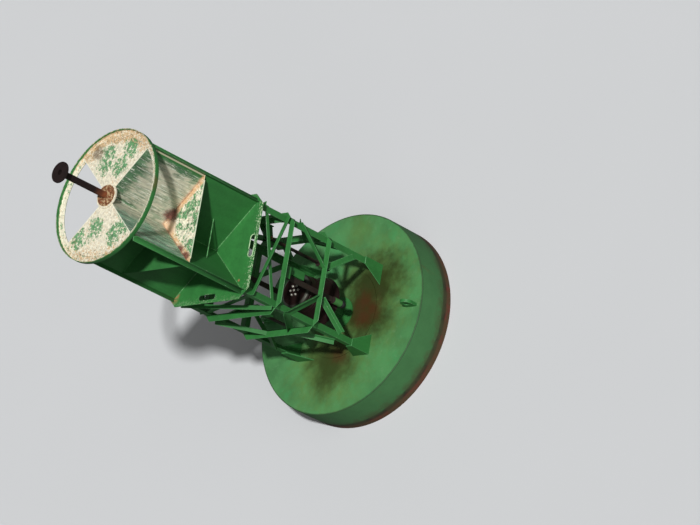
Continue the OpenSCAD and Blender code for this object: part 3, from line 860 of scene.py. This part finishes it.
class BUOY_OT_stage(bpy.types.Operator):
    """Makes the pale floor, the soft lights and the camera"""

    bl_idname = "buoy.stage"
    bl_label = "Stage"

    lights_away = 30
    sensor_mm = 36
    sees_to = 400

    def execute(self, context):
        stage = settings(context)[0]
        leave_all()
        bpy.ops.mesh.primitive_plane_add(size=2 * stage.floor_half, location=(0, 0, 0))
        floor = context.object
        floor.name = "studio_floor"
        floor.data.materials.append(floor_finish(stage.floor_colour))
        floor.visible_diffuse = False
        floor.visible_glossy = False
        self.light(context, stage)
        self.camera(context, stage)
        return {"FINISHED"}

    def light(self, context, stage):
        world = bpy.data.worlds.new("soft_fill")
        world.use_nodes = True
        background = world.node_tree.nodes["Background"]
        background.inputs["Color"].default_value = (1.0, 1.0, 1.0, 1.0)
        background.inputs["Strength"].default_value = stage.fill_strength
        context.scene.world = world
        for name, source, strength, softness in (
                ("key_light", stage.sun_from, stage.sun_strength, stage.sun_softness),
                ("front_light", stage.front_from, stage.front_strength, stage.front_softness)):
            turn = (-Vector(source)).to_track_quat("-Z", "Y").to_euler()
            bpy.ops.object.light_add(type="SUN", location=self.lights_away * Vector(source),
                                     rotation=turn)
            light = context.object
            light.name = name
            light.data.energy = strength
            light.data.angle = softness
        context.scene.view_settings.view_transform = "Standard"

    def camera(self, context, stage):
        back = Vector((0, -math.cos(stage.elevation), math.sin(stage.elevation)))
        back.rotate(Matrix.Rotation(stage.azimuth, 3, "Z"))
        upright = (-back).to_track_quat("-Z", "Y")
        bpy.ops.object.camera_add(location=Vector(stage.aim) + back * stage.distance)
        camera = context.object
        camera.rotation_mode = "QUATERNION"
        camera.rotation_quaternion = upright @ Quaternion((0, 0, 1), -stage.roll)
        camera.data.sensor_width = self.sensor_mm
        camera.data.lens = stage.lens
        camera.data.clip_end = self.sees_to
        context.scene.camera = camera


class BUOY_OT_paint(bpy.types.Operator):
    """Gives every CAD node its finish"""

    bl_idname = "buoy.paint"
    bl_label = "Paint"

    # Heights of a clapper's ball and of the weight above it
    ball_tall, weight_tall = 0.078, 0.125

    def execute(self, context):
        paint = settings(context)[1]
        tower = tower_finish(paint)
        deck = deck_finish(paint)
        bottom = bottom_finish(paint)
        rust = rust_finish()
        finishes = {
            "hull_body": hull_finish(paint), "deck_plate": deck, "deck_doubler": deck,
            "tail_tube": bottom, "counterweight": bottom, "mooring_lugs": bottom,
            "bell": bronze_finish(paint), "top_sectors": sector_finish(paint),
            "reflector_middle": middle_finish(paint), "radial_plates_high": panel_finish(paint),
            "reflector_floor": floor_plate_finish(paint), "hub_disc": hub_finish(paint),
            "post_flange": rust, "light_post": rust, "lantern_flange": rust,
            "clapper_pins": rust,
            "corner_rods": mottled_finish("rod_green", paint_colour(84, 144, 86), 0.45),
        }
        ball_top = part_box("clapper_south")[0].z + self.ball_tall
        clapper = clapper_finish(ball_top, ball_top + self.weight_tall)
        for side in ("south", "east", "north", "west"):
            finishes["clapper_" + side] = clapper
        for name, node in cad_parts.items():
            give_materials(node, finishes.get(name, tower))
        return {"FINISHED"}


class BUOY_OT_rounded_bars(bpy.types.Operator):
    """Rounds the edges of the tower's bars and plates, with the paint worn thin there"""

    bl_idname = "buoy.rounded_bars"
    bl_label = "Rounded bars"

    nodes = ("legs", "foot_gussets", "horizontals_low", "horizontals_high",
             "cross_braces_outer", "cross_braces_inner", "fork_braces_high", "fork_braces_low",
             "clapper_brackets", "lifting_lugs")
    # How far the upper angles' heels stand inside the legs' outer face
    heel_in = 0.0175

    def execute(self, context):
        trim = settings(context)[2]
        worn = edge_finish()
        for name in self.nodes:
            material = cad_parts[name].data.materials[0]
            bar = node_copy(name)
            if name == "legs":
                bar = self.with_upper_angles(bar, trim)
            give_materials(bar, material, worn)
            round_edges(bar, trim.edge_round, material=1)
            finish_piece(bar, name + "_rounded", None, "buoy")
            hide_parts(name)
        return {"FINISHED"}

    def with_upper_angles(self, legs, trim):
        """Legs that go on above the reflector's bottom plate as small angles."""
        edit(legs)
        bpy.ops.mesh.bisect(plane_co=(0, 0, FLOOR_Z), plane_no=(0, 0, 1), use_fill=True,
                            clear_outer=True)
        enter("OBJECT")
        model = angle_model(LEG_FACE - self.heel_in, trim.angle_size, trim.angle_thick,
                            FLOOR_Z, SHELF_Z - trim.ring_thick)
        angles = copies_joined(model, [turned(quarter) for quarter in QUARTERS])
        return join_to_first([legs, angles])


class BUOY_OT_ring(bpy.types.Operator):
    """Makes the top ring, an angle bar rolled round the sectors and bent a little oval"""

    bl_idname = "buoy.ring"
    bl_label = "Top ring"

    # The way the oval is long, its middle, and how soft its edges are beside a bar's
    long_way = math.radians(154)
    middle = (-0.0035, -0.0070)
    softness = 0.6

    def execute(self, context):
        paint, trim = settings(context)[1:]
        out, low = trim.ring_out, SHELF_Z - trim.ring_thick
        top = low + trim.ring_wall
        inner, wall = out - trim.ring_shelf, out - trim.ring_thick
        ring = walk_round([(out, low), (inner, low), (inner, SHELF_Z), (wall, SHELF_Z),
                           (wall, top), (out, top)])
        round_edges(ring, trim.edge_round * self.softness, segments=2)
        share = trim.ring_oval / out
        for turn, scale in ((-self.long_way, (1, 1, 1)), (0, (1 + share, 1 - share, 1)),
                            (self.long_way, (1, 1, 1))):
            pick(ring)
            ring.rotation_euler.z = turn
            ring.scale = scale
            bpy.ops.object.transform_apply()
        ring.location = (*self.middle, 0)
        finish = ring_finish(paint, trim, self.long_way, self.middle, top)
        finish_piece(ring, "rolled_ring", finish, "buoy")
        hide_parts("top_ring")
        return {"FINISHED"}


class BUOY_OT_welds(bpy.types.Operator):
    """Lays the weld beads where the radial plates meet each other and the level plates"""

    bl_idname = "buoy.welds"
    bl_label = "Welds"

    # An upright bead stands in_corner from the axis. A level one runs from first to last
    # beside a plate, at beside_plate from its middle and lifted off the plate below.
    in_corner, beside_plate, lift = 0.0065, 0.00455, 0.001
    first, last = 0.02, 0.70
    upright_share = 0.8

    def execute(self, context):
        size = settings(context)[2].weld_size
        green = mottled_finish("weld_green", paint_colour(92, 150, 92), 0.5)
        panels, plate = (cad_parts[name].data.materials[0]
                         for name in ("radial_plates_high", "reflector_middle"))
        mid_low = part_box("reflector_middle")[0].z
        self.upright("welds_low_upright", size, green, "tower_paint", FLOOR_Z, mid_low)
        self.level("welds_low_level", size, green, "tower_paint", FLOOR_Z)
        self.upright("welds_high_upright", size, panels, "faded_paint", MID_Z, SHELF_Z)
        self.level("welds_high_level", size, plate, "faded_paint", MID_Z)
        return {"FINISHED"}

    def upright(self, name, size, material, slot, low, high):
        """Thinner beads beside the axis, in each corner between two radial plates."""
        places = [turned(quarter, (self.in_corner, 0, low)) for quarter in QUARTERS]
        beads = copies_joined(weld_model(high - low, size * self.upright_share), places)
        finish_piece(beads, name, material, "buoy", smooth=60)

    def level(self, name, size, material, slot, height):
        """Beads along both sides of each radial plate's foot."""
        lying = Matrix.Rotation(math.pi / 2, 4, "Y")
        places = [turned(quarter + math.pi / 4,
                         (self.first, side * self.beside_plate, height + self.lift)) @ lying
                  for quarter in QUARTERS for side in (-1, 1)]
        beads = copies_joined(weld_model(self.last - self.first, size), places)
        finish_piece(beads, name, material, "buoy", smooth=60)


class BUOY_OT_bell_trim(bpy.types.Operator):
    """Adds the beads round the bell and the nuts on its crown"""

    bl_idname = "buoy.bell_trim"
    bl_label = "Bell trim"

    # Radius of the circle of nuts, size of the middle nut beside theirs, and the beads as
    # shares of the way down from the crown, each with its size
    nut_circle, middle_nut = 0.058, 1.1
    beads = ((0.14, 0.8), (0.36, 1.0), (0.42, 0.8), (0.86, 0.8))

    def execute(self, context):
        trim = settings(context)[2]
        self.add_beads(trim)
        nuts = mottled_finish("crown_nuts", paint_colour(196, 194, 182), 0.35, metallic=0.55)
        bolt_circle("crown_nuts_outer", self.nut_circle, CROWN_Z, 6, trim.nut_size, nuts,
                    start=30)
        bolt_circle("crown_nut_middle", 0, CROWN_Z, 1, trim.nut_size * self.middle_nut, nuts)
        return {"FINISHED"}

    def bell_radius(self, z):
        """Outer radius of the bell at a height, from the CAD bell itself."""
        outer = {}
        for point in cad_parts["bell"].data.vertices:
            height = round(point.co.z, 4)
            away = round(math.hypot(point.co.x, point.co.y), 4)
            outer[height] = max(away, outer.get(height, 0))
        above = min((h for h in outer if h >= z), default=max(outer))
        below = max((h for h in outer if h <= z), default=min(outer))
        share = 0 if above == below else (z - below) / (above - below)
        return outer[below] + share * (outer[above] - outer[below])

    def add_beads(self, trim):
        rings = []
        for share, size in self.beads:
            z = CROWN_Z - share * (CROWN_Z - MOUTH_Z)
            leave_all()
            bpy.ops.mesh.primitive_torus_add(
                location=(0, 0, z), major_radius=self.bell_radius(z),
                minor_radius=trim.bead_size * size, major_segments=96, minor_segments=10)
            rings.append(bpy.context.object)
        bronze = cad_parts["bell"].data.materials[0]
        finish_piece(join_to_first(rings), "bell_beads", bronze, "buoy")


class BUOY_OT_flange_nuts(bpy.types.Operator):
    """Adds the nuts on the post's lower flange"""

    bl_idname = "buoy.flange_nuts"
    bl_label = "Flange nuts"

    # How far the nuts stand inside the flange's edge
    edge_in = 0.03

    def execute(self, context):
        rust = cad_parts["post_flange"].data.materials[0]
        bolt_circle("post_flange_nuts", FLANGE_R - self.edge_in, FLANGE_Z, 8,
                    settings(context)[2].nut_size, rust, start=22.5)
        return {"FINISHED"}


class BUOY_OT_slot_rims(bpy.types.Operator):
    """Adds the rod that runs round each hand slot"""

    bl_idname = "buoy.slot_rims"
    bl_label = "Slot rims"

    # Half the slot's straight part, radius of its ends, how far it is inside the plate's
    # edge, and the share of the rod's radius by which its middle is outside the slot's edge
    slot_half, slot_round, slot_in = 0.0965, 0.031, 0.068
    rod_out = 0.7

    def execute(self, context):
        paint, trim = settings(context)[1:]
        leave_all()
        bpy.ops.mesh.primitive_torus_add(
            major_radius=self.slot_round + trim.rim_size * self.rod_out,
            minor_radius=trim.rim_size, major_segments=32, minor_segments=8)
        rim = bpy.context.object
        for side in (-1, 1):
            select_where(rim, "VERT", lambda point: point.co.x * side > 1e-5)
            bpy.ops.transform.translate(value=(side * self.slot_half, 0, 0))
        enter("OBJECT")
        middle = (0, self.slot_in - FLOOR_HALF, FLOOR_Z)
        rims = copies_joined(rim, [turned(quarter, middle) for quarter in QUARTERS])
        finish_piece(rims, "slot_rims", rim_finish(paint), "buoy")
        return {"FINISHED"}


PIECES = (BUOY_OT_paint, BUOY_OT_rounded_bars, BUOY_OT_ring, BUOY_OT_welds, BUOY_OT_bell_trim,
          BUOY_OT_flange_nuts, BUOY_OT_slot_rims)


class BUOY_PT_panel(bpy.types.Panel):
    """Lists the buoy's pieces and settings"""

    bl_idname = "BUOY_PT_panel"
    bl_label = "Bell buoy"
    bl_space_type = "VIEW_3D"
    bl_region_type = "UI"
    bl_category = "Buoy"

    def draw(self, context):
        layout = self.layout
        for operator in (BUOY_OT_stage, *PIECES):
            layout.operator(operator.bl_idname)
        for group in settings(context):
            box = layout.box()
            for name in group.__annotations__:
                box.prop(group, name)


CLASSES = (*GROUPS.values(), BUOY_OT_stage, *PIECES, BUOY_PT_panel)


def register():
    for item in CLASSES:
        bpy.utils.register_class(item)
    for name, group in GROUPS.items():
        setattr(bpy.types.Scene, name, PointerProperty(type=group))


def unregister():
    for name in GROUPS:
        delattr(bpy.types.Scene, name)
    for item in reversed(CLASSES):
        bpy.utils.unregister_class(item)


def main():
    register()
    bpy.ops.buoy.stage()
    for operator in PIECES:
        group, name = operator.bl_idname.split(".")
        getattr(getattr(bpy.ops, group), name)()


if __name__ == "__main__":
    main()
